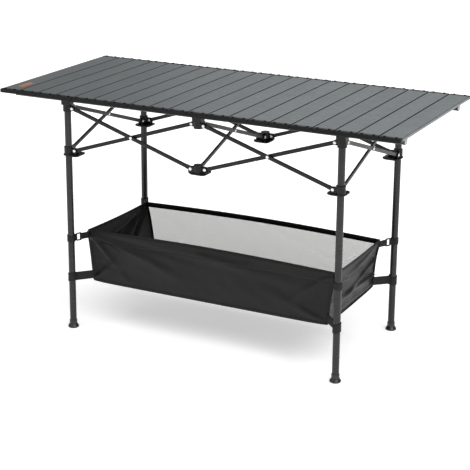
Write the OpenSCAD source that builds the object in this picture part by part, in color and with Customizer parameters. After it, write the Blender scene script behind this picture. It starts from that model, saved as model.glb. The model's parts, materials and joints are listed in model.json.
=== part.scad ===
// Folding camp table: a roll-up slatted top on two rails, a lattice of scissor bars
// between six top hubs and six sliders, four legs and a fabric storage basket.
// +X runs along the tabletop, +Y to the back, +Z up. The origin is on the ground,
// below the middle of the tabletop.

/* [Tabletop] */
// Length of the tabletop along X
top_length = 1200; // [1160:10:1240]
// Depth of the tabletop along Y
top_depth = 550; // [540:5:600]
// Height of the top surface above the ground
top_height = 710; // [660:10:760]
// Thickness of a slat
slat_thick = 10; // [8:1:12]
// Wall of the hollow slat section
slat_wall = 0.9; // [0.8:0.1:1.4]

/* [Frame] */
// Distance between neighbouring hubs, the same in X and in Y
bay = 418; // [410:1:425]
// Distance from a hub's centre to its bar pins
pin_offset = 20; // [19.5:0.5:22]
// Height between the top pins and the slider pins
scissor_rise = 124; // [110:2:140]
// Diameter of a leg tube
leg_d = 19.5; // [18:0.5:19.5]
// Diameter of a rail tube
rail_d = 20; // [18:0.5:20]
// Height of a scissor bar's section
bar_height = 11; // [10:0.5:13]
// Thickness of a scissor bar's section
bar_thick = 6; // [6:0.5:7]

/* [Basket] */
// Half the basket's length at its rim
rim_x = 392; // [385:1:394]
// Half the basket's depth at its rim
rim_y = 158; // [150:1:160]
// Height of the rim above the ground
rim_z = 286; // [270:2:300]
// Half the basket's length at its floor
floor_x = 370; // [360:1:380]
// Half the basket's depth at its floor
floor_y = 164; // [155:1:166]
// Height of the floor above the ground
floor_z = 140; // [120:2:160]
// Thickness that the doubled fabric is given
fabric = 1.6; // [1.2:0.2:2]

/* [Hidden] */
$fn = 48;
eps = 0.01;

// --- tabletop ---
slat_count = 20;
slat_pitch = top_length / slat_count;
slat_gap = 1.6;
slat_round = 2;
cap_length = 12;
cap_proud = 0.5;
bump_d = 7;
bump_height = 2.4;
bump_spread = 32;
rib_count = 2;

// --- heights ---
slat_under = top_height - slat_thick;
rail_z = slat_under - rail_d / 2 - cap_proud - 0.2;
top_pin_z = top_height - 48;
slider_pin_z = top_pin_z - scissor_rise;

// --- rails ---
rail_wall = 1.2;
rail_end_x = top_length / 2 - 22;
plug_d = rail_d + 1;
plug_length = 12;

// --- hubs ---
body_r = 12.9;
hub_bottom = top_pin_z - 10;
neck_width = 27;
neck_bottom = top_pin_z + 9.5;
neck_top = slat_under - cap_proud - 0.6;
cradle_gap = 0.25;
bore_gap = 0.1;
slide_gap = 0.35;
cheek = 2.7;
cheek_gap = 0.3;
cheek_r = bar_height / 2 + 1;
plane_shift = bar_thick / 2 + 0.25;

// --- sliders ---
sleeve_top = slider_pin_z + 12;
flange_thick = 3;
dish_thick = 2;
flange_z = slider_pin_z - cheek_r - 4 - flange_thick;
flange_half = 26;
flange_shift = 11;
flange_round = 14;

// --- rivets ---
rivet_r = 2.5;
rivet_gap = 0.15;
head_r = 4.2;
head_height = 1.4;

// --- bars ---
bar_wall = 1.1;
bar_round = 2;
bar_plug = 16;
pin_span = bay - 2 * pin_offset;
bar_angle = atan(scissor_rise / pin_span);
bar_length = sqrt(pin_span * pin_span + scissor_rise * scissor_rise);

// --- legs ---
leg_wall = 1.2;
leg_bottom = 8;
leg_top = neck_bottom + 1;
foot_height = 23;
foot_base_d = 32;
foot_collar_d = 22.5;

// --- straps ---
upper_strap_z = [rim_z - 21, rim_z - 1];
lower_strap_z = [floor_z + 4, floor_z + 29];
loop_gap = 0.4;
webbing = 1.6;
buckle_width = 18;
buckle_height = 24;
buckle_bar = 3;
buckle_from = leg_d / 2 + 6;

// --- colours ---
slat_grey = [0.46, 0.48, 0.49];
tube_grey = [0.24, 0.24, 0.25];
black_plastic = [0.07, 0.07, 0.08];
black_fabric = [0.12, 0.12, 0.12];
mesh_fabric = [0.72, 0.72, 0.69];
bright_steel = [0.75, 0.75, 0.76];

// --- grid of hubs: column -1 left, 0 middle, 1 right; row -1 front, 1 back ---
function hub_x(column) = column * bay;
function hub_y(row) = row * bay / 2;
function row_name(row) = row < 0 ? "front" : "back";
function column_name(column) = ["left", "mid", "right"][column + 1];
function place_name(row, column) = str(row_name(row), "_", column_name(column));

// Each bar: its name, the top hub it hangs from and the slider hub it meets,
// both as [column, row]
function x_bars(row) = [
    for (side = [-1, 1], steep = [0, 1])
        [
            str("bar_", row_name(row), side < 0 ? "_left" : "_right", steep ? "_inner" : "_outer"),
            steep ? [0, row] : [side, row],
            steep ? [side, row] : [0, row]
        ]
];
function y_bars(column) = [
    for (front = [1, 0])
        [
            str("bar_", ["left_side", "middle", "right_side"][column + 1], front ? "_front" : "_back"),
            [column, front ? -1 : 1],
            [column, front ? 1 : -1]
        ]
];
BARS = concat(x_bars(-1), x_bars(1), y_bars(-1), y_bars(0), y_bars(1));
PLACES = [for (row = [-1, 1], column = [-1, 0, 1]) [row, column]];
CORNERS = [for (row = [-1, 1], column = [-1, 1]) [row, column]];

function slat_name(n) = str("slat_", n < 10 ? "0" : "", n);
function hub_name(p) = str("top_hub_", place_name(p[0], p[1]));
function slider_name(p) = str("slider_", place_name(p[0], p[1]));
function leg_name(p) = str("leg_", place_name(p[0], p[1]));

// ---------------------------------------------------------------- plain shapes

// Rounded rectangle, centred, with true arcs at its corners
module round_rect(width, height, r) {
    square([width - 2 * r, height], center = true);
    square([width, height - 2 * r], center = true);
    for (sx = [-1, 1], sy = [-1, 1])
        translate([sx * (width / 2 - r), sy * (height / 2 - r)]) circle(r);
}

// A plate between two heights with the outline of round_rect
module round_plate(width, depth, r, low, thickness) {
    translate([0, 0, low]) linear_extrude(thickness) round_rect(width, depth, r);
}

// A rivet along +Y, from one head's seat to the other's, with a domed head at each end
module rivet(from, to) {
    color(bright_steel) rotate([-90, 0, 0]) {
        translate([0, 0, from]) cylinder(r = rivet_r, h = to - from);
        translate([0, 0, to]) cylinder(r1 = head_r, r2 = head_r * 0.6, h = head_height);
        translate([0, 0, from - head_height])
            cylinder(r1 = head_r * 0.6, r2 = head_r, h = head_height);
    }
}

// Four corners in the turning sense that makes a sheet's faces point outwards
function wound(c, thick) =
    cross(c[1] - c[0], c[3] - c[0]) * thick > 0 ? c : [c[3], c[2], c[1], c[0]];

// A closed sheet between four corners, thickened along the direction given
module sheet(corners, thick) {
    low = wound(corners, thick);
    polyhedron(
        points = concat(low, [for (c = low) c + thick]),
        faces = [[0, 1, 2, 3], [7, 6, 5, 4], [4, 5, 1, 0], [5, 6, 2, 1], [6, 7, 3, 2], [7, 4, 0, 3]]
    );
}

// ---------------------------------------------------------------- tabletop

// Hollow section of a slat, seen along Y: a rounded box with upright ribs
module slat_section(width) {
    difference() {
        round_rect(width, slat_thick, slat_round);
        for (bay_no = [0 : rib_count]) {
            cell = (width - (rib_count + 2) * slat_wall) / (rib_count + 1);
            translate([-width / 2 + slat_wall + cell / 2 + bay_no * (cell + slat_wall), 0])
                square([cell, slat_thick - 2 * slat_wall], center = true);
        }
    }
}

// Black end cap with two small bumps that stand above the top surface
module slat_cap(width) {
    rotate([90, 0, 0]) linear_extrude(cap_length)
        round_rect(width, slat_thick + 2 * cap_proud, slat_round);
    for (side = [-1, 1])
        translate([side * bump_spread / 2, -cap_length / 2, slat_thick / 2])
            cylinder(d = bump_d, h = bump_height);
}

// Slat number n, counted from the left, with both end caps
module slat(n) {
    width = slat_pitch - slat_gap;
    translate([-top_length / 2 + (n - 0.5) * slat_pitch, 0, top_height - slat_thick / 2]) {
        color(slat_grey) rotate([90, 0, 0])
            linear_extrude(top_depth - 2 * cap_length, center = true) slat_section(width);
        color(black_plastic) {
            translate([0, -top_depth / 2 + cap_length, 0]) slat_cap(width);
            rotate([0, 0, 180]) translate([0, -top_depth / 2 + cap_length, 0]) slat_cap(width);
        }
        if (n == 1) color(slat_grey) end_strip(-1);
        if (n == slat_count) color(slat_grey) end_strip(1);
    }
}

// Strip along the free edge of the first or the last slat
module end_strip(side) {
    translate([side * (slat_pitch - slat_gap) / 2, 0, 0]) rotate([90, 0, 0])
        linear_extrude(top_depth - 2 * cap_length, center = true)
            square([slat_gap, slat_thick - 2 * slat_round], center = true);
}

// ---------------------------------------------------------------- rails

// A rail tube along X with a flared plug in each end
module rail(row) {
    translate([0, hub_y(row), rail_z]) {
        color(tube_grey) rotate([0, 90, 0]) difference() {
            cylinder(d = rail_d, h = 2 * rail_end_x, center = true);
            cylinder(d = rail_d - 2 * rail_wall, h = 2 * rail_end_x + 1, center = true);
        }
        for (side = [-1, 1]) color(black_plastic)
            translate([side * rail_end_x, 0, 0]) rotate([0, side * 90, 0]) rail_plug();
    }
}

// Plug: a spigot inside the tube and a flared head outside it, along +Z
module rail_plug() {
    rotate_extrude() polygon([
        [0, -18], [rail_d / 2 - rail_wall - 0.1, -18], [rail_d / 2 - rail_wall - 0.1, 0],
        [rail_d / 2 - 0.5, 0], [plug_d / 2, plug_length - 2],
        [plug_d / 2 - 1, plug_length], [0, plug_length]
    ]);
}

// ---------------------------------------------------------------- hubs

// Directions in which the hub at a place holds bars, as [dx, dy]
function arms(row, column) = concat(
    [for (dx = [-1, 1]) if (abs(column + dx) <= 1) [dx, 0]],
    [[0, -row]]
);
// A top hub's bars that run down towards +X lie in front, the others behind;
// a bar from a front top hub to a back slider lies to the right, the other to the left
function top_shift(arm, row) = arm[0] != 0 ? -arm[0] * plane_shift : -row * plane_shift;
function slider_shift(arm, row) = arm[0] != 0 ? arm[0] * plane_shift : row * plane_shift;

// Places what follows so that +X points along the arm from the hub's centre
module along(arm) {
    rotate([0, 0, atan2(arm[1], arm[0])]) children();
}
// The sideways shift of a bar, measured in the arm's own frame
function turned(arm, shift) = arm[0] != 0 ? shift * arm[0] : -shift * arm[1];

// Two cheeks with a slot between them for the end of a bar
module fork(shift) {
    slot_half = bar_thick / 2 + cheek_gap;
    for (low = [shift - slot_half - cheek, shift + slot_half])
        translate([0, low + cheek, 0]) rotate([90, 0, 0]) linear_extrude(cheek) {
            translate([pin_offset, 0]) circle(cheek_r);
            translate([0, -cheek_r]) square([pin_offset, 2 * cheek_r]);
        }
}

// The holes of a fork's rivet
module fork_hole(shift) {
    translate([pin_offset, shift, 0]) rotate([90, 0, 0])
        cylinder(r = rivet_r + 0.05, h = 30, center = true);
}

// The rivet of a fork, with its heads on the outside of the cheeks
module fork_rivet(shift) {
    reach = bar_thick / 2 + cheek_gap + cheek + 0.05;
    translate([pin_offset, 0, 0]) rivet(shift - reach, shift + reach);
}

// Top hub: a cradle for the rail, a body around the leg's top, and its forks
module top_hub(row, column) {
    translate([hub_x(column), hub_y(row), 0]) {
        color(black_plastic) difference() {
            union() {
                translate([0, 0, hub_bottom])
                    cylinder(r = body_r, h = neck_bottom - hub_bottom + eps);
                round_plate(neck_width, neck_width, 3, neck_bottom, neck_top - neck_bottom);
                translate([0, 0, top_pin_z]) for (arm = arms(row, column))
                    along(arm) fork(turned(arm, top_shift(arm, row)));
            }
            translate([0, 0, rail_z]) rotate([0, 90, 0])
                cylinder(d = rail_d + 2 * cradle_gap, h = 60, center = true);
            translate([-30, -rail_d / 2 - cradle_gap, rail_z])
                cube([60, rail_d + 2 * cradle_gap, 40]);
            if (column != 0) translate([0, 0, hub_bottom - 10])
                cylinder(d = leg_d + 2 * bore_gap, h = leg_top + bore_gap - hub_bottom + 10);
            translate([0, 0, top_pin_z]) for (arm = arms(row, column))
                along(arm) fork_hole(turned(arm, top_shift(arm, row)));
        }
        translate([0, 0, top_pin_z]) for (arm = arms(row, column))
            along(arm) fork_rivet(turned(arm, top_shift(arm, row)));
    }
}

// Slider: a sleeve, its forks, and the dished plate below them
module slider(row, column) {
    shift_x = -column * flange_shift;
    shift_y = -row * flange_shift;
    color(black_plastic) translate([hub_x(column), hub_y(row), 0]) difference() {
        union() {
            translate([0, 0, flange_z]) cylinder(r = body_r, h = sleeve_top - flange_z);
            translate([shift_x, shift_y, 0]) {
                round_plate(2 * flange_half, 2 * flange_half, flange_round, flange_z, flange_thick);
                round_plate(2 * flange_half - 8, 2 * flange_half - 8, flange_round - 4,
                    flange_z - dish_thick, dish_thick + eps);
            }
            translate([0, 0, slider_pin_z]) for (arm = arms(row, column))
                along(arm) {
                    fork(turned(arm, slider_shift(arm, row)));
                    fork_foot(turned(arm, slider_shift(arm, row)));
                }
        }
        if (column != 0) translate([0, 0, flange_z - 20])
            cylinder(d = leg_d + 2 * slide_gap, h = sleeve_top - flange_z + 40);
        translate([0, 0, slider_pin_z]) for (arm = arms(row, column))
            along(arm) fork_hole(turned(arm, slider_shift(arm, row)));
    }
    translate([hub_x(column), hub_y(row), slider_pin_z]) for (arm = arms(row, column))
        along(arm) fork_rivet(turned(arm, slider_shift(arm, row)));
}

// Webs that carry a slider's fork down to its plate
module fork_foot(shift) {
    slot_half = bar_thick / 2 + cheek_gap;
    drop = slider_pin_z - flange_z - flange_thick / 2;
    for (low = [shift - slot_half - cheek, shift + slot_half])
        translate([0, low, -drop]) cube([pin_offset + cheek_r, cheek, drop]);
}

// ---------------------------------------------------------------- scissor bars

// A bar in its own frame: along +X from its top pin, thickness along Y
module bar_blank() {
    rotate([0, 90, 0]) translate([0, 0, bar_plug]) linear_extrude(bar_length - 2 * bar_plug)
        difference() {
            round_rect(bar_height, bar_thick, bar_round);
            round_rect(bar_height - 2 * bar_wall, bar_thick - 2 * bar_wall, bar_round - 1);
        }
    for (middle = [0, bar_length])
        translate([middle, 0, 0]) rotate([90, 0, 0])
            cylinder(d = bar_height, h = bar_thick, center = true);
    for (from = [0, bar_length - bar_plug])
        translate([from, -bar_thick / 2, -bar_height / 2]) cube([bar_plug, bar_thick, bar_height]);
}

// Bore for a rivet, through the bar's thickness
module bar_bore(at, gap) {
    translate([at, 0, 0]) rotate([90, 0, 0])
        cylinder(r = rivet_r + gap, h = bar_thick + 2, center = true);
}

// A bar from a top hub to a slider. The bars whose arm points to +X or that hang from a
// front hub carry the crossing rivet, which turns in the other bar of the pair
module bar(top, foot) {
    step = foot - top;
    arm = [sign(step[0]), sign(step[1])];
    row = top[1];
    shift = turned(arm, top_shift(arm, row));
    holds_rivet = arm[0] > 0 || arm[1] > 0;
    translate([hub_x(top[0]), hub_y(top[1]), top_pin_z]) along(arm)
        translate([pin_offset, shift, 0]) rotate([0, bar_angle, 0]) {
            color(tube_grey) difference() {
                bar_blank();
                bar_bore(0, rivet_gap);
                bar_bore(bar_length, rivet_gap);
                bar_bore(bar_length / 2, holds_rivet ? 0.05 : rivet_gap);
            }
            if (holds_rivet) translate([bar_length / 2, 0, 0])
                rivet(-bar_thick / 2 - 0.05 - (shift > 0 ? 2 * plane_shift : 0),
                      bar_thick / 2 + 0.05 + (shift < 0 ? 2 * plane_shift : 0));
        }
}

// ---------------------------------------------------------------- legs

// A leg tube on its flared foot
module leg(row, column) {
    translate([hub_x(column), hub_y(row), 0]) {
        color(tube_grey) translate([0, 0, leg_bottom]) difference() {
            cylinder(d = leg_d, h = leg_top - leg_bottom);
            translate([0, 0, -1]) cylinder(d = leg_d - 2 * leg_wall, h = leg_top);
        }
        color(black_plastic) foot();
    }
}

// Foot: a socket around the tube's end on a flared, rounded base
module foot() {
    socket_r = leg_d / 2 + 0.1;
    rotate_extrude() difference() {
        polygon([
            [0, 0], [foot_base_d / 2 - 2, 0], [foot_base_d / 2, 2], [foot_base_d / 2, 4.5],
            [foot_collar_d / 2 + 1.5, 10], [foot_collar_d / 2, 13],
            [foot_collar_d / 2, foot_height], [0, foot_height]
        ]);
        translate([socket_r - 20, leg_bottom]) square([20, foot_height]);
    }
}

// ---------------------------------------------------------------- basket

function rim(sx, sy) = [sx * rim_x, sy * rim_y, rim_z];
function base(sx, sy) = [sx * floor_x, sy * floor_y, floor_z];

// Long wall at the front or back, thickened inwards
module long_wall(sy) {
    sheet([base(-1, sy), base(1, sy), rim(1, sy), rim(-1, sy)], [0, -sy * fabric, 0]);
}

// Short wall at one end, between the long walls, thickened inwards
module end_wall(sx) {
    inset = fabric + 0.5;
    sheet([
        [sx * floor_x, -floor_y + inset, floor_z], [sx * floor_x, floor_y - inset, floor_z],
        [sx * rim_x, rim_y - inset, rim_z], [sx * rim_x, -rim_y + inset, rim_z]
    ], [-sx * fabric, 0, 0]);
}

// Half of the floor, which creases along the basket's middle
module floor_half(sy) {
    width = floor_y - fabric - 1.5;
    translate([-floor_x + fabric + 1, sy > 0 ? 0.5 : -0.5 - width, floor_z])
        cube([2 * (floor_x - fabric - 1), width, fabric]);
}

// Webbing wrapped around a leg between two heights
module leg_loop(heights) {
    inner = leg_d / 2 + loop_gap;
    translate([0, 0, heights[0]]) difference() {
        cylinder(r = inner + webbing, h = heights[1] - heights[0]);
        translate([0, 0, -1]) cylinder(r = inner, h = heights[1] - heights[0] + 2);
    }
}

// Webbing between two distances from a leg's centre, in the leg's frame, along +X
module tail(heights, from, to) {
    translate([from, -webbing / 2, heights[0]])
        cube([to - from, webbing, heights[1] - heights[0]]);
}

// Rectangular frame of a buckle, in the leg's frame, across +X
module buckle(at, middle_z) {
    translate([at, 0, middle_z]) rotate([90, 0, 0])
        linear_extrude(buckle_bar, center = true) difference() {
            square([buckle_width, buckle_height], center = true);
            for (side = [-1, 1]) translate([side * (buckle_width - buckle_bar) / 4, 0])
                square([(buckle_width - 3 * buckle_bar) / 2, buckle_height - 2 * buckle_bar],
                    center = true);
        }
}

// The upper strap with its buckle and the lower strap at one corner
module straps(row, column) {
    upper_reach = norm([bay - rim_x, bay / 2 - rim_y]) - 3;
    lower_reach = norm([bay - floor_x, bay / 2 - floor_y]) - 6;
    upper_turn = atan2(-row * (bay / 2 - rim_y), -column * (bay - rim_x));
    lower_turn = atan2(-row * (bay / 2 - floor_y), -column * (bay - floor_x));
    start = leg_d / 2 + loop_gap + webbing / 2;
    translate([hub_x(column), hub_y(row), 0]) {
        color(black_fabric) {
            leg_loop(upper_strap_z);
            leg_loop(lower_strap_z);
            rotate([0, 0, lower_turn]) tail(lower_strap_z, start, lower_reach);
        }
        rotate([0, 0, upper_turn]) {
            color(black_fabric) {
                tail(upper_strap_z, start, buckle_from + eps);
                tail(upper_strap_z, buckle_from + buckle_width - eps, upper_reach);
            }
            color(black_plastic)
                buckle(buckle_from + buckle_width / 2, (upper_strap_z[0] + upper_strap_z[1]) / 2);
        }
    }
}

// ---------------------------------------------------------------- the object

for (n = [1 : slat_count]) slat(n);
rail(-1);  // rail_front
rail(1);  // rail_back
for (p = PLACES) top_hub(p[0], p[1]);
for (p = PLACES) slider(p[0], p[1]);
for (b = BARS) bar(b[1], b[2]);
for (p = CORNERS) leg(p[0], p[1]);
color(black_fabric) long_wall(-1);  // basket_front
color(mesh_fabric) long_wall(1);  // basket_back
union() {  // basket_left
    color(black_fabric) end_wall(-1);
    straps(-1, -1);
}
union() {  // basket_right
    color(black_fabric) end_wall(1);
    straps(-1, 1);
}
color(black_fabric) floor_half(-1);  // basket_floor_front
color(black_fabric) floor_half(1);  // basket_floor_back
straps(1, -1);  // straps_left_back
straps(1, 1);  // straps_right_back
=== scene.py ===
"""A roll-up camp table: materials, fabric and small fittings built round its CAD frame.

Everything is in metres in the frame's own axes: +X along the tabletop, +Y to the back, +Z up.
"""

import json
import math

import bpy
from mathutils import Matrix, Vector, noise

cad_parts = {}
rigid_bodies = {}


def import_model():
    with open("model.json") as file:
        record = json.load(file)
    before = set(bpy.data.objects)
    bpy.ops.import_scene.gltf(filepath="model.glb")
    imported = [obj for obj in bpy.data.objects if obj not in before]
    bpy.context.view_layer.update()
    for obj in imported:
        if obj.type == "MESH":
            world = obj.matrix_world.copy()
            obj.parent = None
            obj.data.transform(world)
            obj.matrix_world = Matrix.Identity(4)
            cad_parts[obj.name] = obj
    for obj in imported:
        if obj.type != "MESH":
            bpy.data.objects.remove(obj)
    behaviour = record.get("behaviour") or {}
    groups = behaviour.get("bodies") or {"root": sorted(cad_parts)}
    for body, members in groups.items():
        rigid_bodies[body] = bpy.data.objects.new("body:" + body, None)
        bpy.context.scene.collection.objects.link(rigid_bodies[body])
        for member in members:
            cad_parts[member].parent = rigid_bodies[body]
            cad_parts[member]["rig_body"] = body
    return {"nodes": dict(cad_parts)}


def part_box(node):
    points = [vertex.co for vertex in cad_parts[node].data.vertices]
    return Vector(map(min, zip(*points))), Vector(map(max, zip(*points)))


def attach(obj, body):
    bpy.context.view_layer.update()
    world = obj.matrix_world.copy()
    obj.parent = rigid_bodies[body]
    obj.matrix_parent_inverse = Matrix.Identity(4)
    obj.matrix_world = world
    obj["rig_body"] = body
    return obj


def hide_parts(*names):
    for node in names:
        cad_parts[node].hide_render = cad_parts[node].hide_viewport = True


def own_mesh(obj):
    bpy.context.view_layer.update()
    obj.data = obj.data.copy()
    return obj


MM = 0.001
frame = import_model()


def write_size():
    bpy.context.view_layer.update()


write_size()

# ---------------------------------------------------------------- places from the frame

SLATS = sorted(n for n in frame["nodes"] if n.startswith("slat_"))
BARS = sorted(n for n in frame["nodes"] if n.startswith("bar_"))
LEGS = sorted(n for n in frame["nodes"] if n.startswith("leg_"))
HUBS = sorted(n for n in frame["nodes"] if n.startswith(("top_hub_", "slider_")))
RAILS = ["rail_front", "rail_back"]


def middle(node):
    """The centre of a CAD node's box."""
    low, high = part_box(node)
    return (Vector(low) + Vector(high)) / 2


leg_at = middle("leg_front_right")
LEG_X, LEG_Y = leg_at.x, -leg_at.y
LEG_R = 9.75 * MM
FOOT_HEIGHT = 23.2 * MM

# The basket: half its length and depth at the rim and at the floor, and the heights of both. The
# CAD floor stops short of the end walls' feet by the gap, and the foot is deeper than the rim by
# the spread on each side.
FLOOR_GAP = 2.6 * MM
FOOT_SPREAD = 6 * MM
wall_low, wall_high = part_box("basket_front")
RIM_X, RIM_Z = wall_high[0], wall_high[2]
BASE_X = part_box("basket_floor_front")[1][0] + FLOOR_GAP
BASE_Y, BASE_Z = -wall_low[1], wall_low[2]
RIM_Y = BASE_Y - FOOT_SPREAD

# The tabletop. The bumps on the slats' caps stand above its surface.
slat_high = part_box("slat_10")[1]
BUMP_HEIGHT = 2.4 * MM
CAP_LENGTH = 12 * MM
SLAT_END_Y, TOP_Z = slat_high[1], slat_high[2] - BUMP_HEIGHT
SLAT_PITCH = 60 * MM
TOP_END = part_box("slat_20")[1][0]

# The rails' end plugs: the black flare, and where along it the paler end disc begins
FLARE_LENGTH = 12.1 * MM
PLUG_LENGTH = 11.5 * MM

# The lattice: a bar's section, the cheeks of its forks and its pins' distance from a hub's middle
BAR_HEIGHT, BAR_THICK = 11 * MM, 6 * MM
CHEEK = 2.7 * MM
PIN_OFFSET = 20 * MM

# ---------------------------------------------------------------- camera and studio

# Millimetres, except the shift, which is a share of the sensor's width
SENSOR_WIDTH, LENS, SHIFT_UP = 36, 106.7, -0.0957
CAMERA_AT = (1.7293, -3.4054, 1.5632)
AZIMUTH, ELEVATION, ROLL = (math.radians(degrees) for degrees in (26.84, 16.61, 0.41))

WHITE = (1, 1, 1, 1)
FLOOR_HALF = 9
SUN_STRENGTH = 2.55
SUN_SPREAD, SUN_TILT_X, SUN_TILT_Y = (math.radians(degrees) for degrees in (75, 14, 16))
DOME_STRENGTH = 0.25
# Name, place, what it is aimed at, size and watts
LAMPS = (
    ("key", (3.4, -1.6, 2.2), (0.2, 0, 0.35), (0.9, 2.2), 26),
    ("fill", (-2.6, -3.4, 1.6), (0, 0, 0.4), (1.2, 2.0), 16),
    ("back", (-0.8, 4.6, 3.4), (-0.2, 0, 0.7), (3.8, 1.4), 26),
)


def make_camera():
    """Camera at the product-shot angle: to the right of the front, a little above the tabletop."""
    data = bpy.data.cameras.new("camera")
    data.sensor_width = SENSOR_WIDTH
    data.lens = LENS
    data.shift_y = SHIFT_UP
    data.dof.use_dof = False
    cam = bpy.data.objects.new("camera", data)
    cam.location = CAMERA_AT
    level = Matrix.Rotation(AZIMUTH, 4, "Z") @ Matrix.Rotation(math.pi / 2 - ELEVATION, 4, "X")
    turned = level @ Matrix.Rotation(ROLL, 4, "Z")
    cam.rotation_euler = turned.to_euler()
    bpy.context.scene.collection.objects.link(cam)
    bpy.context.scene.camera = cam


def area_light(name, place, target, size, watts):
    data = bpy.data.lights.new(name, "AREA")
    data.shape = "RECTANGLE"
    data.size, data.size_y = size
    data.energy = watts
    lamp = bpy.data.objects.new(name, data)
    lamp.location = place
    lamp.rotation_euler = (Vector(target) - Vector(place)).to_track_quat("-Z", "Y").to_euler()
    bpy.context.scene.collection.objects.link(lamp)


def make_studio():
    """A pale floor, a wide sun, three soft lamps, and a dome the camera sees as pure white."""
    half = FLOOR_HALF
    mesh = bpy.data.meshes.new("floor")
    mesh.from_pydata([(-half, -half, 0), (half, -half, 0), (half, half, 0), (-half, half, 0)],
                     [], [(0, 1, 2, 3)])
    floor = bpy.data.objects.new("floor", mesh)
    bpy.context.scene.collection.objects.link(floor)
    floor.data.materials.append(floor_material())
    sun = bpy.data.objects.new("overhead", bpy.data.lights.new("overhead", "SUN"))
    sun.data.energy = SUN_STRENGTH
    sun.data.angle = SUN_SPREAD
    sun.rotation_euler = (SUN_TILT_X, SUN_TILT_Y, 0)
    bpy.context.scene.collection.objects.link(sun)
    for lamp in LAMPS:
        area_light(*lamp)
    world = bpy.data.worlds.new("world")
    bpy.context.scene.world = world
    world.use_nodes = True
    tree = world.node_tree
    seen = tree.nodes["Background"]
    lighting = tree.nodes.new("ShaderNodeBackground")
    mixed = tree.nodes.new("ShaderNodeMixShader")
    path = tree.nodes.new("ShaderNodeLightPath")
    seen.inputs["Color"].default_value = WHITE
    lighting.inputs["Color"].default_value = WHITE
    lighting.inputs["Strength"].default_value = DOME_STRENGTH
    tree.links.new(path.outputs["Is Camera Ray"], mixed.inputs["Fac"])
    tree.links.new(lighting.outputs["Background"], mixed.inputs[1])
    tree.links.new(seen.outputs["Background"], mixed.inputs[2])
    tree.links.new(mixed.outputs["Shader"], tree.nodes["World Output"].inputs["Surface"])
    bpy.context.scene.view_settings.view_transform = "Standard"


# ---------------------------------------------------------------- material building

# Most of a noise texture's values lie between these
NOISE_LOW, NOISE_HIGH = 0.3, 0.7
# A wave texture of scale 1 repeats once in this length
WAVE_PERIOD = 0.314


class Shader:
    """A node material with a few short calls for the nodes used here."""

    def __init__(self, name):
        self.material = bpy.data.materials.new(name)
        self.material.use_nodes = True
        self.tree = self.material.node_tree
        self.bsdf = self.tree.nodes["Principled BSDF"]

    def add(self, kind, **settings):
        """A new node. A setting that names an input sets its value, or links it to a socket."""
        n = self.tree.nodes.new("ShaderNode" + kind)
        for key, value in settings.items():
            if hasattr(n, key) and key not in n.inputs:
                setattr(n, key, value)
            else:
                self.feed(n.inputs[key], value)
        return n

    def feed(self, socket, value):
        if isinstance(value, bpy.types.NodeSocket):
            self.tree.links.new(value, socket)
        else:
            socket.default_value = value

    def set(self, **values):
        """Inputs of the main surface, with spaces written as underscores."""
        for key, value in values.items():
            self.feed(self.bsdf.inputs[key.replace("_", " ")], value)

    def place(self):
        return self.add("TexCoord").outputs["Object"]

    def uv(self):
        return self.add("TexCoord").outputs["UV"]

    def scaled(self, vector, scale):
        return self.add("Mapping", Vector=vector, Scale=scale).outputs["Vector"]

    def noise(self, vector, scale, detail=4.0, rough=0.55):
        n = self.add("TexNoise", Vector=vector, Scale=scale, Detail=detail, Roughness=rough)
        return n.outputs["Fac"]

    def remap(self, value, from_low, from_high, to_low, to_high):
        n = self.add("MapRange")
        n.clamp = True
        for socket, v in zip(n.inputs[:5], (value, from_low, from_high, to_low, to_high)):
            self.feed(socket, v)
        return n.outputs["Result"]

    def spread(self, noise_value, low=0, high=1):
        """A noise value stretched to run from low to high."""
        return self.remap(noise_value, NOISE_LOW, NOISE_HIGH, low, high)

    def math(self, operation, a, b=0.0):
        n = self.add("Math", operation=operation)
        self.feed(n.inputs[0], a)
        self.feed(n.inputs[1], b)
        return n.outputs["Value"]

    def mix(self, share, a, b):
        n = self.add("Mix", data_type="RGBA")
        self.feed(n.inputs["Factor"], share)
        for name, value in (("A", a), ("B", b)):
            socket = next(s for s in n.inputs if s.name == name and s.type == "RGBA")
            self.feed(socket, value)
        return next(s for s in n.outputs if s.type == "RGBA")

    def bump(self, height, distance, strength=1.0, normal=None):
        n = self.add("Bump", Height=height, Distance=distance, Strength=strength)
        if normal is not None:
            self.feed(n.inputs["Normal"], normal)
        return n.outputs["Normal"]

    def split(self, vector):
        return self.add("SeparateXYZ", Vector=vector).outputs


def grey(value, warm=0.0):
    """A near-neutral colour. warm leans to brown above 0 and to blue below."""
    return (value * (1 + warm), value, value * (1 - warm), 1)


def teal(value):
    """The slats' grey, a touch cooler than neutral."""
    return (value * 0.90, value, value * 1.035, 1)


def floor_material():
    s = Shader("pale_floor")
    cloud = s.noise(s.place(), 1.5)
    s.set(Base_Color=s.mix(s.spread(cloud), grey(0.90), grey(0.93)), Roughness=0.7)
    s.set(Specular_IOR_Level=0.2, Emission_Color=grey(1.0), Emission_Strength=0.42)
    return s.material


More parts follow.
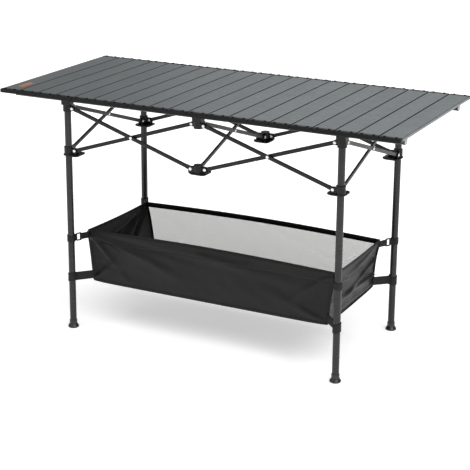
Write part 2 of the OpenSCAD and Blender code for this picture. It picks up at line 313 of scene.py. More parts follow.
def slat_material():
    """Satin grey coating on aluminium with fine speckle, black plastic caps at both ends.

    Painted shade of the gaps: the slats' sides and a line of uneven width along each seam are
    nearly black.
    """
    s = Shader("slat_coating")
    shadow = grey(0.004)
    here = s.place()
    xyz = s.split(here)
    drawn = s.noise(s.scaled(here, (1, 0.02, 1)), 420, 3)
    speckle = s.noise(here, 1500, 2)
    smudge = s.noise(here, 9, 5)
    lengthways = s.scaled(here, (1, 0.001, 0.001))
    per_slat = s.noise(lengthways, 1 / SLAT_PITCH, 0)
    tone = s.math("ADD", s.math("MULTIPLY", drawn, 0.25), s.math("MULTIPLY", smudge, 0.75))
    metal = s.mix(s.spread(tone), teal(0.186), teal(0.216))
    metal = s.mix(s.spread(per_slat, 0, 0.35), metal, teal(0.268))
    metal = s.mix(s.remap(speckle, 0.62, 0.74, 0, 0.25), metal, grey(0.36))
    edge = s.add("Bevel", Radius=0.8 * MM)
    edge.samples = 6
    normal = s.split(s.add("NewGeometry").outputs["Normal"])
    inward = s.math("LESS_THAN", s.math("ABSOLUTE", xyz["X"]), TOP_END - 4 * MM)
    # Painted shade: the slats' sides, in shadow inside the gaps, are painted nearly black
    side_shade = s.math("MULTIPLY", s.remap(s.math("ABSOLUTE", normal["X"]), 0.12, 0.42, 0, 1), inward)
    metal = s.mix(side_shade, metal, shadow)
    # Painted shade: a dark line of uneven width along each seam on the slats' tops, where the gaps
    # are in shadow
    shares = s.math("FRACT", s.math("DIVIDE", s.math("ADD", xyz["X"], TOP_END), SLAT_PITCH))
    from_seam = s.math("MINIMUM", shares, s.math("SUBTRACT", 1.0, shares))
    uneven = s.noise(lengthways, 7, 1)
    line = s.remap(uneven, 0.38, 0.62, 0.5 * MM / SLAT_PITCH, 1.5 * MM / SLAT_PITCH)
    line = s.math("MULTIPLY", s.math("LESS_THAN", from_seam, line), inward)
    metal = s.mix(line, metal, shadow)
    cap_from = SLAT_END_Y - CAP_LENGTH
    is_cap = s.math("GREATER_THAN", s.math("ABSOLUTE", xyz["Y"]), cap_from)
    plastic = s.mix(s.noise(here, 300, 2), grey(0.003), grey(0.006))
    s.set(Base_Color=s.mix(is_cap, metal, plastic))
    s.set(Metallic=s.math("MULTIPLY", s.math("SUBTRACT", 1.0, is_cap), 0.72))
    rough = s.spread(s.noise(here, 60, 4), 0.36, 0.47)
    s.set(Roughness=s.math("ADD", rough, s.math("MULTIPLY", is_cap, 0.02)))
    s.set(Specular_IOR_Level=0.18)
    fine = s.math("ADD", s.math("MULTIPLY", speckle, 0.6), s.math("MULTIPLY", drawn, 0.4))
    s.set(Normal=s.bump(fine, 0.00006, 0.5, edge.outputs["Normal"]))
    return s.material


TUBE_METALLIC = 0.45


def tube_material(name, low, high, rough, black_below=None, black_beyond=None):
    """Satin charcoal coating on drawn tube, from the low to the high grey.

    Black plastic begins below the height black_below, or beyond black_beyond from the middle.
    """
    s = Shader(name)
    here = s.place()
    xyz = s.split(here)
    cloud = s.noise(here, 25, 5)
    grain = s.noise(here, 1600, 2)
    paint = s.mix(s.spread(cloud), grey(low), grey(high))
    paint = s.mix(s.remap(grain, 0.62, 0.75, 0, 0.35), paint, grey(high * 2.2))
    scratch = s.noise(s.scaled(here, (1, 1, 0.08)), 260, 6, 0.7)
    paint = s.mix(s.remap(scratch, 0.70, 0.80, 0, 0.25), paint, grey(high * 3))
    is_plastic = None
    plastic = grey(0.014)
    if black_below is not None:
        is_plastic = s.math("LESS_THAN", xyz["Z"], black_below)
    if black_beyond is not None:
        along = s.math("ABSOLUTE", xyz["X"])
        is_plastic = s.math("GREATER_THAN", along, black_beyond)
        end_disc = s.math("GREATER_THAN", along, black_beyond + PLUG_LENGTH)
        plastic = s.mix(end_disc, plastic, grey(0.38, -0.03))
    if is_plastic is None:
        s.set(Base_Color=paint, Metallic=TUBE_METALLIC)
    else:
        s.set(Base_Color=s.mix(is_plastic, paint, plastic))
        s.set(Metallic=s.math("MULTIPLY", s.math("SUBTRACT", 1.0, is_plastic), TUBE_METALLIC))
    s.set(Roughness=s.spread(s.noise(here, 80, 3), rough - 0.05, rough + 0.06))
    edge = s.add("Bevel", Radius=0.5 * MM)
    s.set(Normal=s.bump(grain, 0.00005, 0.5, edge.outputs["Normal"]))
    return s.material


def plastic_material(name):
    """Moulded black nylon with a fine spark texture and softened edges, lighter as a painted
    highlight.
    """
    s = Shader(name)
    here = s.place()
    spark = s.noise(here, 1900, 3, 0.7)
    cloud = s.noise(here, 40, 4)
    edge = s.add("Bevel", Radius=0.9 * MM)
    edge.samples = 6
    base = s.mix(s.spread(cloud), grey(0.003), grey(0.007))
    facing = s.add("VectorMath", operation="DOT_PRODUCT")
    s.feed(facing.inputs[0], edge.outputs["Normal"])
    s.feed(facing.inputs[1], s.add("NewGeometry").outputs["Normal"])
    # Painted highlight: the rounded edges are painted lighter where the bevel normal turns from the
    # face
    edge_highlight = s.remap(facing.outputs["Value"], 0.96, 0.75, 0, 0.3)
    s.set(Base_Color=s.mix(edge_highlight, base, grey(0.05)), Specular_IOR_Level=0.3)
    s.set(Roughness=s.spread(spark, 0.34, 0.5))
    s.set(Normal=s.bump(spark, 0.00009, 0.6, edge.outputs["Normal"]))
    return s.material


def steel_material():
    """Bright turned steel."""
    s = Shader("bright_rivet")
    turned = s.noise(s.place(), 900, 4)
    s.set(Base_Color=s.mix(s.spread(turned), grey(0.86), grey(0.95)))
    s.set(Metallic=0.45, Roughness=s.spread(turned, 0.25, 0.4))
    return s.material


def weave_height(s, vector, pitch):
    """Height of a plain weave from two sets of crossing threads, with a little unevenness."""
    wobble = s.noise(vector, 60, 3)
    across = s.add("TexWave", bands_direction="X", Vector=vector, Scale=WAVE_PERIOD / pitch)
    along = s.add("TexWave", bands_direction="Y", Vector=vector, Scale=WAVE_PERIOD / pitch)
    for wave in (across, along):
        s.feed(wave.inputs["Distortion"], 0.25)
    both = s.math("MULTIPLY", across.outputs["Fac"], along.outputs["Fac"])
    return s.math("ADD", both, s.math("MULTIPLY", wobble, 0.35))


def fabric_material(name, low, high, pitch, rough):
    """Coated woven polyester: plain weave, soft mottling from the low to the high grey, dust."""
    s = Shader(name)
    uv = s.uv()
    weave = weave_height(s, uv, pitch)
    cloud = s.noise(s.place(), 14, 6, 0.6)
    dust = s.noise(s.place(), 120, 4, 0.7)
    base = s.mix(s.spread(cloud), grey(low, 0.02), grey(high, 0.02))
    base = s.mix(s.remap(weave, 0.4, 1.1, 0, 0.35), base, grey(high * 1.5, 0.02))
    base = s.mix(s.remap(dust, 0.62, 0.80, 0, 0.2), base, grey(0.035))
    s.set(Base_Color=base, Roughness=s.spread(cloud, rough - 0.08, rough + 0.08))
    s.set(Specular_IOR_Level=0.24)
    crumple = s.bump(s.noise(s.place(), 45, 5, 0.6), 0.0009, 0.35)
    s.set(Normal=s.bump(weave, 0.00018, 0.6, crumple))
    return s.material


MESH_PITCH = 1.1 * MM
YARN_ALPHA, HOLE_ALPHA = 0.65, 0.16
YARN_DARK, YARN_LIGHT = (0.140, 0.125, 0.075, 1), (0.155, 0.140, 0.085, 1)


def mesh_material():
    """Fine knitted mesh: dark yarn with open holes that let most of the light through.

    The sheet has two faces, so what shows behind it is dimmed twice.
    """
    s = Shader("mesh_fabric")
    cells = s.add("TexVoronoi", Vector=s.uv(), Scale=1 / MESH_PITCH, Randomness=0.12)
    cells.feature = "DISTANCE_TO_EDGE"
    yarn = s.remap(cells.outputs["Distance"], 0.02, 0.26, YARN_ALPHA, HOLE_ALPHA)
    cloud = s.noise(s.place(), 10, 4)
    s.set(Base_Color=s.mix(cloud, YARN_DARK, YARN_LIGHT), Roughness=0.7)
    s.set(Specular_IOR_Level=0.3, Alpha=yarn)
    s.set(Normal=s.bump(cells.outputs["Distance"], 0.0002, 0.5))
    return s.material


def webbing_material():
    """Ribbed polypropylene webbing."""
    s = Shader("webbing")
    uv = s.uv()
    ribs = s.add("TexWave", bands_direction="X", Vector=uv, Scale=WAVE_PERIOD / (1.6 * MM))
    picks = s.add("TexWave", bands_direction="Y", Vector=uv, Scale=WAVE_PERIOD / (0.9 * MM))
    height = s.math("ADD", ribs.outputs["Fac"], s.math("MULTIPLY", picks.outputs["Fac"], 0.5))
    fuzz = s.noise(s.place(), 700, 3, 0.7)
    s.set(Base_Color=s.mix(s.remap(height, 0.2, 1.4, 0, 1), grey(0.003), grey(0.010)))
    s.set(Roughness=s.spread(fuzz, 0.55, 0.8), Specular_IOR_Level=0.35)
    s.set(Normal=s.bump(height, 0.00025, 0.7))
    return s.material


def label_material():
    """Plain orange, glossy, with no lettering."""
    s = Shader("blank_label")
    cloud = s.noise(s.place(), 300, 4)
    s.set(Base_Color=s.mix(cloud, (0.42, 0.13, 0.035, 1), (0.50, 0.17, 0.05, 1)))
    s.set(Roughness=s.spread(cloud, 0.35, 0.5), Coat_Weight=0.3)
    return s.material


# ---------------------------------------------------------------- mesh building


def make_object(name, verts, faces, material, smooth=True, uvs=None):
    """A mesh object from points and faces. uvs is one (u, v) in metres for each point."""
    mesh = bpy.data.meshes.new(name)
    mesh.from_pydata([tuple(v) for v in verts], [], faces)
    mesh.update()
    mesh.polygons.foreach_set("use_smooth", [smooth] * len(mesh.polygons))
    if uvs is not None:
        layer = mesh.uv_layers.new(name="UVMap")
        for loop in mesh.loops:
            layer.data[loop.index].uv = uvs[loop.vertex_index]
    made = bpy.data.objects.new(name, mesh)
    made.data.materials.append(material)
    bpy.context.scene.collection.objects.link(made)
    return made


def grid(name, point, across, up, size, material):
    """A sheet from point(u, v) with u and v from 0 to 1, and its size in metres for the weave."""
    verts, uvs, faces = [], [], []
    for j in range(up + 1):
        for i in range(across + 1):
            u, v = i / across, j / up
            verts.append(point(u, v))
            uvs.append((u * size[0], v * size[1]))
    row = across + 1
    for j in range(up):
        for i in range(across):
            a = j * row + i
            faces.append((a, a + 1, a + 1 + row, a + row))
    return make_object(name, verts, faces, material, uvs=uvs)


def thicken(obj, thickness):
    """Gives a sheet its thickness, half to each side."""
    solid = obj.modifiers.new("thickness", "SOLIDIFY")
    solid.thickness = thickness
    solid.offset = 0.0
    return obj


def ring_faces(rings, count, closed=False):
    """Faces between each ring of count points and the next, and from the last to the first."""
    faces = []
    for j in range(rings if closed else rings - 1):
        low, high = j * count, (j + 1) % rings * count
        for i in range(count):
            k = (i + 1) % count
            faces.append((low + i, low + k, high + k, high + i))
    return faces


def cap_faces(rings, count):
    """The two faces that close the first and the last ring."""
    last = (rings - 1) * count
    return [tuple(reversed(range(count))), tuple(range(last, last + count))]


def rounded_rectangle(width, height, radius):
    """Outline of a rectangle round the origin with rounded corners."""
    points = []
    for sx, sy, start in ((1, 1, 0), (-1, 1, 90), (-1, -1, 180), (1, -1, 270)):
        for k in range(7):
            a = math.radians(start + 15 * k)
            points.append((sx * (width / 2 - radius) + radius * math.cos(a),
                           sy * (height / 2 - radius) + radius * math.sin(a)))
    return points


# One face of a band's cross-section, as shares of half its width and half its thickness
BAND_FACE = [(-0.94, 1), (-0.5, 1.04), (0, 1.06), (0.5, 1.04), (0.94, 1)]
BAND_OUTLINE = [(-1, 0), *BAND_FACE, (1, 0), *((a, -b) for a, b in reversed(BAND_FACE))]


def upright(k):
    """The direction of a band's width where it stands on edge."""
    return Vector((0, 0, 1))


def ribbon(name, path, wide, width, thickness, material):
    """A band with rounded edges along path. wide(k) is the direction of its width at point k."""
    outline = [(a * width / 2, b * thickness / 2) for a, b in BAND_OUTLINE]
    verts, uvs = [], []
    run = 0.0
    for k, p in enumerate(path):
        before, after = path[max(k - 1, 0)], path[min(k + 1, len(path) - 1)]
        run += (p - before).length
        along = (after - before).normalized()
        side = wide(k)
        side = (side - along * side.dot(along)).normalized()
        up = along.cross(side)
        for a, b in outline:
            verts.append(p + side * a + up * b)
            uvs.append((a + b, run))
    shape = len(path), len(outline)
    return make_object(name, verts, ring_faces(*shape) + cap_faces(*shape), material, uvs=uvs)


def joined(name, parts):
    """Several new objects as one."""
    bpy.ops.object.select_all(action="DESELECT")
    for p in parts:
        p.select_set(True)
    bpy.context.view_layer.objects.active = parts[0]
    bpy.ops.object.join()
    parts[0].name = name
    return parts[0]


def lathe(name, profile, material, steps):
    """Turns (radius, height) points about Z."""
    verts = []
    for r, z in profile:
        for k in range(steps):
            a = 2 * math.pi * k / steps
            verts.append(Vector((r * math.cos(a), r * math.sin(a), z)))
    shape = len(profile), steps
    return make_object(name, verts, ring_faces(*shape) + cap_faces(*shape), material)


# ---------------------------------------------------------------- tabletop and frame looks


def paint_frame():
    """Materials of the CAD nodes that stay."""
    slat = slat_material()
    for name in SLATS:
        set_material(name, slat)
    rail = tube_material("rail_coating", 0.035, 0.055, 0.36,
                         black_beyond=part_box("rail_front")[1][0] - FLARE_LENGTH)
    for name in RAILS:
        set_material(name, rail)
    bar = tube_material("bar_coating", 0.006, 0.011, 0.38)
    for name in BARS:
        set_material(name, bar)
    leg = tube_material("leg_coating", 0.016, 0.026, 0.28, black_below=FOOT_HEIGHT)
    for name in LEGS:
        set_material(name, leg)
    nylon = plastic_material("hub_plastic")
    for name in HUBS:
        set_material(name, nylon)


def set_material(node, material):
    data = frame["nodes"][node].data
    data.materials.clear()
    data.materials.append(material)


# The label: its size, corner and height, and where its middle is on the first slat
LABEL_WIDTH, LABEL_LENGTH = 17 * MM, 56 * MM
LABEL_CORNER, LABEL_LIFT = 2.5 * MM, 0.5 * MM
LABEL_ASIDE, LABEL_FROM_FRONT = 5 * MM, 78 * MM


def add_label(material):
    """The small blank plate near the front end of the first slat."""
    low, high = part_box("slat_01")
    centre = Vector(((low[0] + high[0]) / 2 + LABEL_ASIDE, low[1] + LABEL_FROM_FRONT, TOP_Z))
    lift = LABEL_LIFT
    outline = rounded_rectangle(LABEL_WIDTH, LABEL_LENGTH, LABEL_CORNER)
    verts = [centre + Vector((x, y, 0)) for x, y in outline]
    verts += [centre + Vector((x, y, lift * 0.7)) for x, y in outline]
    verts += [centre + Vector((x * 0.93, y * 0.97, lift)) for x, y in outline]
    under, top = cap_faces(3, len(outline))
    faces = ring_faces(3, len(outline)) + [top, under]
    label = make_object("blank_label", verts, faces, material, smooth=False)
    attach(label, "top")


# ---------------------------------------------------------------- basket

# How far each corner edge bows in between its straps, and how far it stands inside its CAD corner
CORNER_BOW = {(-1, -1): 1.5 * MM, (1, -1): 6 * MM, (-1, 1): 3 * MM, (1, 1): 4 * MM}
CORNER_IN = {(-1, -1): 0, (1, -1): 0, (-1, 1): 11 * MM, (1, 1): 0}


def corner_edge(sx, sy, v):
    """The basket's upright corner edge from floor to rim, pulled in between the straps."""
    bow = CORNER_BOW[sx, sy] * math.sin(math.pi * v ** 1.3)
    x = BASE_X + (RIM_X - BASE_X) * v - bow - CORNER_IN[sx, sy]
    y = BASE_Y + (RIM_Y - BASE_Y) * v - bow * 0.3
    return Vector((sx * x, sy * y, BASE_Z + (RIM_Z - BASE_Z) * v))


def outward(value, ease=1.5 * MM):
    """The value where it is positive, easing to nothing below: fabric only bellies outwards."""
    return (value + math.sqrt(value * value + ease * ease) - ease) / 2


# A fold reaches its full height this far from its start
FOLD_RISE = 12 * MM


def crease(u, v, size, start, end, width, height):
    """Height at (u, v) of one soft fold between two places on a sheet, sharpest at its start.

    size, width and height are in metres, and start and end are shares of the sheet.
    """
    px, pz = (u - start[0]) * size[0], (v - start[1]) * size[1]
    dx, dz = (end[0] - start[0]) * size[0], (end[1] - start[1]) * size[1]
    length = math.hypot(dx, dz)
    t = (px * dx + pz * dz) / length ** 2
    off = (px * dz - pz * dx) / length
    near = max(0.0, min(1.0, t))
    spread = width * (0.45 + 0.9 * near)
    beyond = max(0.0, t - 1, -t) * length / width
    rise = min(1.0, near * length / FOLD_RISE)
    return height * rise * (1 - near) ** 0.7 * math.exp(-(off / spread) ** 2 - beyond ** 2)


def surface_noise(u, v, size, seed, broad, fine):
    """Broad and fine unevenness of a hanging sheet, held still along its four edges."""
    hold = min(1, 7 * min(u, 1 - u)) * min(1, 5 * min(v, 1 - v))
    x, z = u * size[0], v * size[1]
    large = noise.noise(Vector((x * 7, z * 13, seed)))
    small = noise.noise(Vector((x * 24 + z * 9, z * 30, seed + 7)))
    return hold * (broad * large + fine * small)


# Soft folds of each sheet: where one starts and ends as shares of length and height, then its
# width and height in millimetres
FRONT_FOLDS = (
    ((0, 1), (0.42, 0.30), 12, 12.0), ((0, 1), (0.17, 0.02), 10, 9.0),
    ((0, 0.98), (0.62, 0.62), 10, -5.0), ((0, 0), (0.17, 0.75), 10, 8.0),
    ((0.02, 0.4), (0.30, 0.12), 12, -4.0), ((1, 1), (0.80, 0.10), 12, 6.0),
    ((1, 0), (0.72, 0.50), 13, 5.0), ((0.45, 0.86), (0.95, 0.60), 14, 4.0),
)
BACK_FOLDS = (
    ((0.48, 0.97), (0.92, 0.25), 5, 2.5), ((0, 1), (0.2, 0.3), 9, 1.5),
    ((1, 1), (0.8, 0.2), 9, 1.5),
)
LEFT_FOLDS = (
    ((1, 1), (0.10, 0.25), 15, 14.0), ((1, 1), (0.42, -0.05), 10, 10.0),
    ((1, 0.92), (0.05, 0.62), 10, -6.0), ((0, 1), (0.45, 0.15), 12, 10.0),
    ((0, 0), (0.55, 0.50), 10, 7.0), ((1, 0), (0.45, 0.40), 12, 8.0),
)
RIGHT_FOLDS = (
    ((1, 0.30), (-0.1, 0.38), 9, 11.0), ((1, 1), (0.00, 0.66), 9, 9.0),
    ((1, 0.66), (0.05, 0.20), 8, 9.0), ((1, 0.05), (0.20, 0.10), 7, 7.0),
    ((0, 1), (0.50, 0.55), 9, 6.0), ((0.2, 0.8), (0.9, 0.5), 8, -5.0),
)


def folds(u, v, size, each):
    """Height at (u, v) of all the folds of one sheet."""
    return sum(crease(u, v, size, a, b, w * MM, h * MM) for a, b, w, h in each)


# The long walls' rims run a little higher between the corners than at them, the end walls' lower
ARCH, SAG = 8 * MM, 3 * MM
# How far a wall's foot rises at its corners, and the length over which that fades
EDGE_LIFT, LIFT_FADE = 2.5 * MM, 28 * MM
# How far the walls belly out in the middle
BELLY = 4 * MM


def near_corner(u, length, v):
    """1 at the foot of a corner edge, fading along the foot and up the edge."""
    return math.exp(-min(u, 1 - u) * length / LIFT_FADE) * (1 - v) ** 2


def long_wall_point(sy):
    """The function that places a point of the front (-1) or back (1) wall, and the wall's size."""
    size = (2 * RIM_X, RIM_Z - BASE_Z)
    each = FRONT_FOLDS if sy < 0 else BACK_FOLDS
    broad, fine = (5 * MM, 1.2 * MM) if sy < 0 else (1.2 * MM, 0.0)

    def point(u, v):
        left, right = corner_edge(-1, sy, v), corner_edge(1, sy, v)
        p = left.lerp(right, u)
        span = math.sin(math.pi * u)
        bulge = BELLY * span ** 0.6 * math.sin(math.pi * v) ** 0.8
        edge = min(1, 9 * (1 - v)) * min(1, 9 * v)
        rough = surface_noise(u, v, size, 2.0 + sy, broad, fine)
        p.z += EDGE_LIFT * near_corner(u, size[0], v) + span * ARCH * v
        p.y += sy * outward(bulge + edge * folds(u, v, size, each) + rough)
        return p
    return point, size


def end_wall_point(sx):
    """The same for the left (-1) or right (1) wall."""
    size = (2 * RIM_Y, RIM_Z - BASE_Z)
    each = LEFT_FOLDS if sx < 0 else RIGHT_FOLDS

    def point(u, v):
        front, back = corner_edge(sx, -1, v), corner_edge(sx, 1, v)
        p = front.lerp(back, u)
        span = math.sin(math.pi * u)
        bulge = BELLY * span ** 0.8 * math.sin(math.pi * v)
        edge = min(1, 9 * (1 - v)) * min(1, 9 * v)
        rough = surface_noise(u, v, size, 5.0 + sx, 3.0 * MM, 1.0 * MM)
        p.z += EDGE_LIFT * near_corner(u, size[0], v) - SAG * span * v
        p.x += sx * outward(bulge + edge * folds(u, v, size, each) + rough)
        return p
    return point, size


# The floor's seam hangs just below the walls' feet, which keeps it clear of them when folded
FLOOR_DROP = 2.6 * MM
# The middle crease stands a little proud, so the two halves meet and don't cross when folded
FLOOR_RIDGE = 3 * MM
# The floor's outer edge stands this far inside the walls' feet
FLOOR_INSET = 1.6 * MM


def floor_point(sy):
    """Half the floor: v runs from the long wall to the middle crease."""
    front, _ = long_wall_point(sy)
    size = (2 * BASE_X, BASE_Y)

    def point(u, v):
        outer = front(u, 0)
        side = end_edge(u, sy, v)
        p = Vector((side.x, (outer.y - sy * FLOOR_INSET) * (1 - v), outer.z))
        hold = math.sin(math.pi * u) ** 0.5 * math.sin(math.pi * v)
        ripple = noise.noise(Vector((u * 5, v * 2.5 * sy, 4.0)))
        p.z += (1 * MM + 1.5 * MM * ripple) * hold - FLOOR_DROP * (1 - v) ** 2
        p.z += FLOOR_RIDGE * v
        return p
    return point, size


def end_edge(u, sy, v):
    """A point between the feet of the two end walls: u from the left one to the right one."""
    left, _ = end_wall_point(-1)
    right, _ = end_wall_point(1)
    across = 0.5 + sy * 0.5 * (1 - v)
    a, b = left(across, 0), right(across, 0)
    return a.lerp(b, u)


def soft(piece, body, axis=None):
    """A fabric piece rides on a body. With an axis, it gets a mesh of its own."""
    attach(piece, body)
    if axis is not None:
        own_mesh(piece)


def along_x(piece, body):
    """A fabric piece on a body, with the lengthways axis and a mesh of its own."""
    soft(piece, body, (1, 0, 0))


def along_y(piece, body):
    """The same for an end wall, with the front-to-back axis."""
    soft(piece, body, (0, 1, 0))


def edge_path(point, steps, u=None, v=None):
    """Points along one side of a sheet, with u or v held."""
    return [point(k / steps if u is None else u, k / steps if v is None else v)
            for k in range(steps + 1)]


# Thickness of the coated fabric, its hems and the mesh; depth of the hems
CLOTH, HEM, MESH = 0.9 * MM, 0.7 * MM, 0.5 * MM
FRONT_HEM, BACK_HEM = 30 * MM, 11 * MM
# Width and thickness of the bindings: along a rim, up a corner, along a long and an end wall's foot
RIM_TAPE, CORNER_TAPE = (9 * MM, 2.6 * MM), (9 * MM, 2.4 * MM)
LONG_FOOT_TAPE, END_FOOT_TAPE = (8 * MM, 2.6 * MM), (8 * MM, 2.4 * MM)


def build_basket(fabric, mesh, tape):
    """Six sheets, their bindings and hems."""
    build_long_wall(-1, "front_wall", "basket_front", "frame_root", fabric, fabric, tape)
    build_long_wall(1, "mesh_wall", "basket_back", "hub_back_mid", mesh, fabric, tape)
    for sx, side in ((-1, "left"), (1, "right")):
        build_end_wall(sx, side, fabric, tape)
    for sy, side, wall in ((-1, "front", "basket_front_wall"), (1, "back", "basket_mesh_wall")):
        point, size = floor_point(sy)
        sheet = thicken(grid("basket_floor_%s_half" % side, point, 96, 20, size, fabric), CLOTH)
        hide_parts("basket_floor_" + side)
        along_x(sheet, "basket_floor_" + side)


def build_long_wall(sy, name, node, body, cloth, hem_cloth, tape):
    """The front (-1) or back (1) wall with its hem, rim and foot bindings and corner bindings."""
    point, size = long_wall_point(sy)
    front = sy < 0
    wall = grid("basket_" + name, point, 160, 36, size, cloth)
    thicken(wall, CLOTH if front else MESH)
    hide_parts(node)
    along_x(wall, body)
    build_hem(point, sy, FRONT_HEM if front else BACK_HEM, body, name, hem_cloth)
    for edge, v, measures in (("rim", 1.0, RIM_TAPE), ("foot", 0.0, LONG_FOOT_TAPE)):
        band = ribbon("%s_%s_binding" % (name, edge), edge_path(point, 96, v=v), upright,
                      *measures, tape)
        along_x(band, body)
    for sx, side in ((-1, "left"), (1, "right")):
        band = ribbon("%s_%s_corner_binding" % (name, side),
                      edge_path(point, 24, u=0.0 if sx < 0 else 1.0),
                      lambda k, sx=sx: Vector((sx, 0, 0)), *CORNER_TAPE, tape)
        along_x(band, body)


def build_end_wall(sx, side, fabric, tape):
    """The left (-1) or right (1) wall with its rim and foot bindings."""
    point, size = end_wall_point(sx)
    body = "leg_front_" + side
    wall = thicken(grid("basket_%s_wall" % side, point, 72, 36, size, fabric), CLOTH)
    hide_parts("basket_" + side)
    along_y(wall, body)
    for edge, v, wide, measures in (
            ("rim", 1.0, upright, RIM_TAPE),
            ("foot", 0.0, lambda k: Vector((-sx, 0, 1)), END_FOOT_TAPE)):
        band = ribbon("%s_%s_binding" % (side, edge), edge_path(point, 40, v=v), wide,
                      *measures, tape)
        along_y(band, body)


# How far each layer of a hem stands off the wall's middle
HEM_OFFSET = 1.2 * MM


def build_hem(point, sy, depth, body, name, material):
    """The doubled band below a wall's rim: a second layer outside and inside the wall."""
    share = depth / (RIM_Z - BASE_Z)
    for side, layer in ((1, "outer"), (-1, "inner")):
        def over(u, v, side=side):
            p = point(u, 1 - share * (1 - v))
            edge = 0.35 + 0.65 * min(1.0, v * 6)
            p.y += sy * side * HEM_OFFSET * edge
            return p
        band = grid("%s_hem_%s" % (name, layer), over, 120, 8, (2 * RIM_X, depth), material)
        thicken(band, HEM)
        along_x(band, body)


# ---------------------------------------------------------------- straps

# Heights of the webbing on the legs
UPPER_STRAP = (265 * MM, 285 * MM)
LOWER_STRAP = (144 * MM, 169 * MM)
# The buckle: its width and height, how far it begins from the leg's middle, its bars' width and
# its thickness
BUCKLE = (18 * MM, 24 * MM)
BUCKLE_FROM = 15.75 * MM
BUCKLE_BAR, BUCKLE_THICK = 3.4 * MM, 4.2 * MM
# Half the distance between two layers of webbing: sewn together, round the buckle, at the rim
SEWN_APART, OPEN_APART, RIM_APART = 0.8 * MM, 1.9 * MM, 0.9 * MM
# How far the webbing's end laps over the buckle's bar or the rim
LAP, RIM_LAP = 3 * MM, 4 * MM
# Width and thickness of the webbing between the buckle and the rim
RIM_WEBBING = (18.5 * MM, 1.4 * MM)
# The webbing on the legs: its thickness, and its middle's distance from the tube
LOOP_THICK, LOOP_OFFSET = 1.5 * MM, 1.3 * MM


def strap_frame(sx, sy, corner):
    """Origin at a leg, x towards the basket's corner in plan, y across and z up."""
    origin = Vector((sx * LEG_X, sy * LEG_Y, 0))
    to = Vector((corner.x, corner.y, 0)) - origin
    length = to.length
    x = to.normalized()
    z = Vector((0, 0, 1))
    return origin, x, z.cross(x), length


def loop_and_tail(name, sx, sy, corner, z_leg, z_corner, width, reach, material, droop):
    """Webbing round the leg that leaves it towards the corner as two layers sewn together.

    reach is its end as a share of the way to the corner. droop tilts the loop on the leg.
    """
    origin, x, y, length = strap_frame(sx, sy, corner)
    r = LEG_R + LOOP_OFFSET
    leave, end = r * 1.35, length * reach
    start = math.radians(28)
    steps = 26

    def layer(side):
        """One layer from its end to the leg."""
        points = []
        for k in range(9):
            along = leave + (end - leave) * (1 - k / 8)
            height = z_leg + (z_corner - z_leg) * (along / length)
            points.append(origin + x * along + y * side * SEWN_APART + Vector((0, 0, height)))
        return points
    path = layer(1)
    for k in range(steps + 1):
        a = start + (2 * math.pi - 2 * start) * k / steps
        path.append(origin + x * r * math.cos(a) + y * r * math.sin(a)
                    + Vector((0, 0, z_leg + droop * math.sin(a))))
    path += reversed(layer(-1))
    return ribbon(name, path, upright, width, LOOP_THICK, material)


def slotted_frame(name, centre, axes, size, bar, depth, material):
    """A moulded buckle: a frame with rounded corners round one upright slot."""
    x, y = axes
    z = Vector((0, 0, 1))

    def ring(w, h, at):
        outline = rounded_rectangle(w, h, min(w, h) * 0.2)
        return [centre + x * across + z * up + y * at for across, up in outline]
    soften = 0.8 * MM
    rings = []
    for grow, at in ((-soften, -0.5), (0, -0.28), (0, 0.28), (-soften, 0.5)):
        rings.append(ring(size[0] + 2 * grow, size[1] + 2 * grow, at * depth))
    for grow, at in ((soften, 0.5), (0, 0.28), (0, -0.28), (soften, -0.5)):
        rings.append(ring(size[0] - 2 * bar + 2 * grow, size[1] - 2 * bar + 2 * grow, at * depth))
    verts = [p for r in rings for p in r]
    return make_object(name, verts, ring_faces(len(rings), len(rings[0]), True), material)


def build_straps(webbing, plastic):
    """An upper strap with its buckle and a lower strap at each leg."""
    upper_low, upper_high = UPPER_STRAP
    lower_low, lower_high = LOWER_STRAP
    for sx, side in ((-1, "left"), (1, "right")):
        for sy, row in ((-1, "front"), (1, "back")):
            body = "leg_%s_%s" % (row, side)
            name = "straps_%s_%s" % (side, row)
            rim = corner_edge(sx, sy, 0.93)
            base = corner_edge(sx, sy, 0.10)
            z_up = (upper_low + upper_high) / 2
            origin, x, y, length = strap_frame(sx, sy, rim)
            middle_at = BUCKLE_FROM + BUCKLE[0] / 2
            upper = loop_and_tail(name, sx, sy, rim, z_up, z_up, upper_high - upper_low,
                                  (BUCKLE_FROM + LAP) / length, webbing, 1.0 * MM)
            buckle = slotted_frame(
                "buckle_%s_%s" % (side, row), origin + x * middle_at + Vector((0, 0, z_up)),
                (x, y), BUCKLE, BUCKLE_BAR, BUCKLE_THICK, plastic)
            joining = webbing_to_rim("rim_" + name, origin, x, y, z_up,
                                     BUCKLE_FROM + BUCKLE[0] - LAP, length + RIM_LAP, webbing)
            z_low = (lower_low + lower_high) / 2
            lower = loop_and_tail("lower_" + name, sx, sy, base, z_low, base.z + 3 * MM,
                                  lower_high - lower_low, 1.05, webbing, -3 * MM)
            for piece in (upper, buckle, joining):
                soft(piece, body, (0, 0, 1))
            soft(lower, body)
            if sy > 0:
                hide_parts(name)


def webbing_to_rim(name, origin, x, y, z, start, end, material):
    """Two layers of webbing that round the buckle's far bar and draw together towards the rim."""
    turns = 8

    def layer(side):
        """One layer from the buckle to the rim."""
        points = []
        for k in range(9):
            along = start + (end - start) * (k / 8)
            apart = OPEN_APART - (OPEN_APART - RIM_APART) * min(1, k / 4)
            points.append(origin + x * along + y * side * apart + Vector((0, 0, z)))
        return points
    path = layer(1)[::-1]
    for k in range(1, turns):
        a = math.pi / 2 + math.pi * k / turns
        path.append(origin + x * (start + OPEN_APART * math.cos(a))
                    + y * OPEN_APART * math.sin(a) + Vector((0, 0, z)))
    path += layer(-1)
    return ribbon(name, path, upright, *RIM_WEBBING, material)


# ---------------------------------------------------------------- rivets

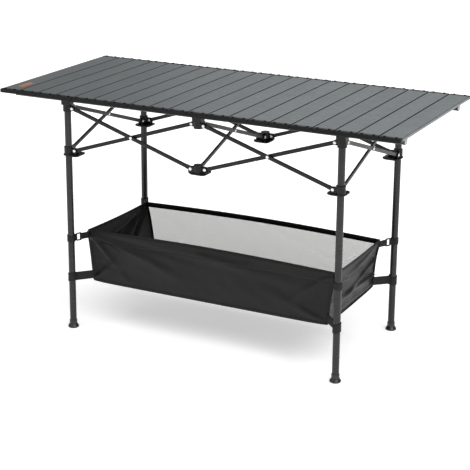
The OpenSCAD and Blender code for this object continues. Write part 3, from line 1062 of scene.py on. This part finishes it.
# The kind of bar that crosses one of each kind. For front and back, also the opposite row.
MATES = {"outer": "inner", "inner": "outer", "front": "back", "back": "front"}
HEAD_RADIUS = 4.5 * MM
# How far a head stands off a fork's cheek, and off a bar at a crossing
HEAD_GAP, CROSSING_GAP = 0.35 * MM, 0.05 * MM


def rivet_head(name, centre, axis, material):
    """A domed rivet head with a rolled rim that covers the CAD head."""
    r = HEAD_RADIUS
    profile = [(r * 0.98, -0.2 * MM), (r, 0.4 * MM), (r * 0.95, 0.9 * MM)]
    for k in range(1, 7):
        a = math.pi / 2 * k / 7
        profile.append((r * 0.92 * math.cos(a), 0.9 * MM + 1.1 * MM * math.sin(a)))
    head = lathe(name, profile, material, 24)
    turn = Vector((0, 0, 1)).rotation_difference(axis)
    head.data.transform(Matrix.Translation(centre) @ turn.to_matrix().to_4x4())
    return head


def add_rivets(steel):
    """Bright domed heads at both ends of every pin: the bars' ends and their crossings."""
    by_node = {}

    def pair(node, centre, axis, back, front):
        for sign, reach in ((-1, back), (1, front)):
            name = "rivet_%s_%d" % (node, len(by_node.setdefault(node, [])))
            head = rivet_head(name, centre + axis * (sign * reach), axis * sign, steel)
            by_node[node].append(head)

    for row in ("front", "back"):
        for side, sx in (("left", -1), ("right", 1)):
            leg_hub, mid_hub = "%s_%s" % (row, side), "%s_mid" % row
            for kind, top, foot in (("outer", leg_hub, mid_hub), ("inner", mid_hub, leg_hub)):
                bar = "bar_%s_%s_%s" % (row, side, kind)
                from_x, to_x = (sx * LEG_X, 0) if kind == "outer" else (0, sx * LEG_X)
                bar_ends(pair, bar, top, foot, from_x, to_x, 0)
    for side, column in (("left_side", "left"), ("middle", "mid"), ("right_side", "right")):
        for kind, sy in (("front", -1), ("back", 1)):
            top, foot = "%s_%s" % (kind, column), "%s_%s" % (MATES[kind], column)
            bar_ends(pair, "bar_%s_%s" % (side, kind), top, foot, sy * LEG_Y, -sy * LEG_Y, 1)
    for node, heads in by_node.items():
        rivets = joined("rivets_" + node, heads)
        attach(rivets, frame["nodes"][node]["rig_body"])


def bar_plane(bar, to, across):
    """Place of a bar's middle plane.

    A bar that runs towards the positive side carries the crossing rivet, whose heads are in its
    box. So its plane is mirrored from its mate's.
    """
    low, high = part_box(bar)
    if to < 0:
        return (low[across] + high[across]) / 2
    low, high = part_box(mate_of(bar))
    mate_plane = (low[across] + high[across]) / 2
    line = 0 if "middle" in bar else math.copysign(LEG_X if across == 0 else LEG_Y, mate_plane)
    return 2 * line - mate_plane


def mate_of(bar):
    start, kind = bar.rsplit("_", 1)
    return "%s_%s" % (start, MATES[kind])


def bar_ends(pair, bar, top, foot, start, end, along):
    """Rivets at a bar's top and foot, and at its crossing if the bar carries it.

    along is the axis the bar runs along, and start and end are its two hubs' places on it.
    """
    low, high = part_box(bar)
    across = 1 - along
    to = 1 if end > start else -1
    centre = (low + high) / 2
    centre[along] = (start + end) / 2
    centre[across] = bar_plane(bar, to, across)
    axis = Vector((0, 1, 0)) if along == 0 else Vector((1, 0, 0))
    clevis = BAR_THICK / 2 + CHEEK + HEAD_GAP
    top_pin, foot_pin = centre.copy(), centre.copy()
    top_pin[along], foot_pin[along] = start + to * PIN_OFFSET, end - to * PIN_OFFSET
    top_pin.z, foot_pin.z = high.z - BAR_HEIGHT / 2, low.z + BAR_HEIGHT / 2
    pair("top_hub_" + top, top_pin, axis, clevis, clevis)
    pair("slider_" + foot, foot_pin, axis, clevis, clevis)
    if to > 0:
        gap = bar_plane(mate_of(bar), -1, across) - centre[across]
        reach = BAR_THICK / 2 + CROSSING_GAP
        pair(bar, centre, axis, reach - min(0, gap), reach + max(0, gap))


make_camera()
make_studio()
paint_frame()
add_label(label_material())
black = fabric_material("black_fabric", 0.003, 0.007, 1.1 * MM, 0.40)
add_rivets(steel_material())
build_straps(webbing_material(), plastic_material("buckle_plastic"))
build_basket(black, mesh_material(), fabric_material("binding_tape", 0.004, 0.008, 0.8 * MM, 0.55))
write_size()
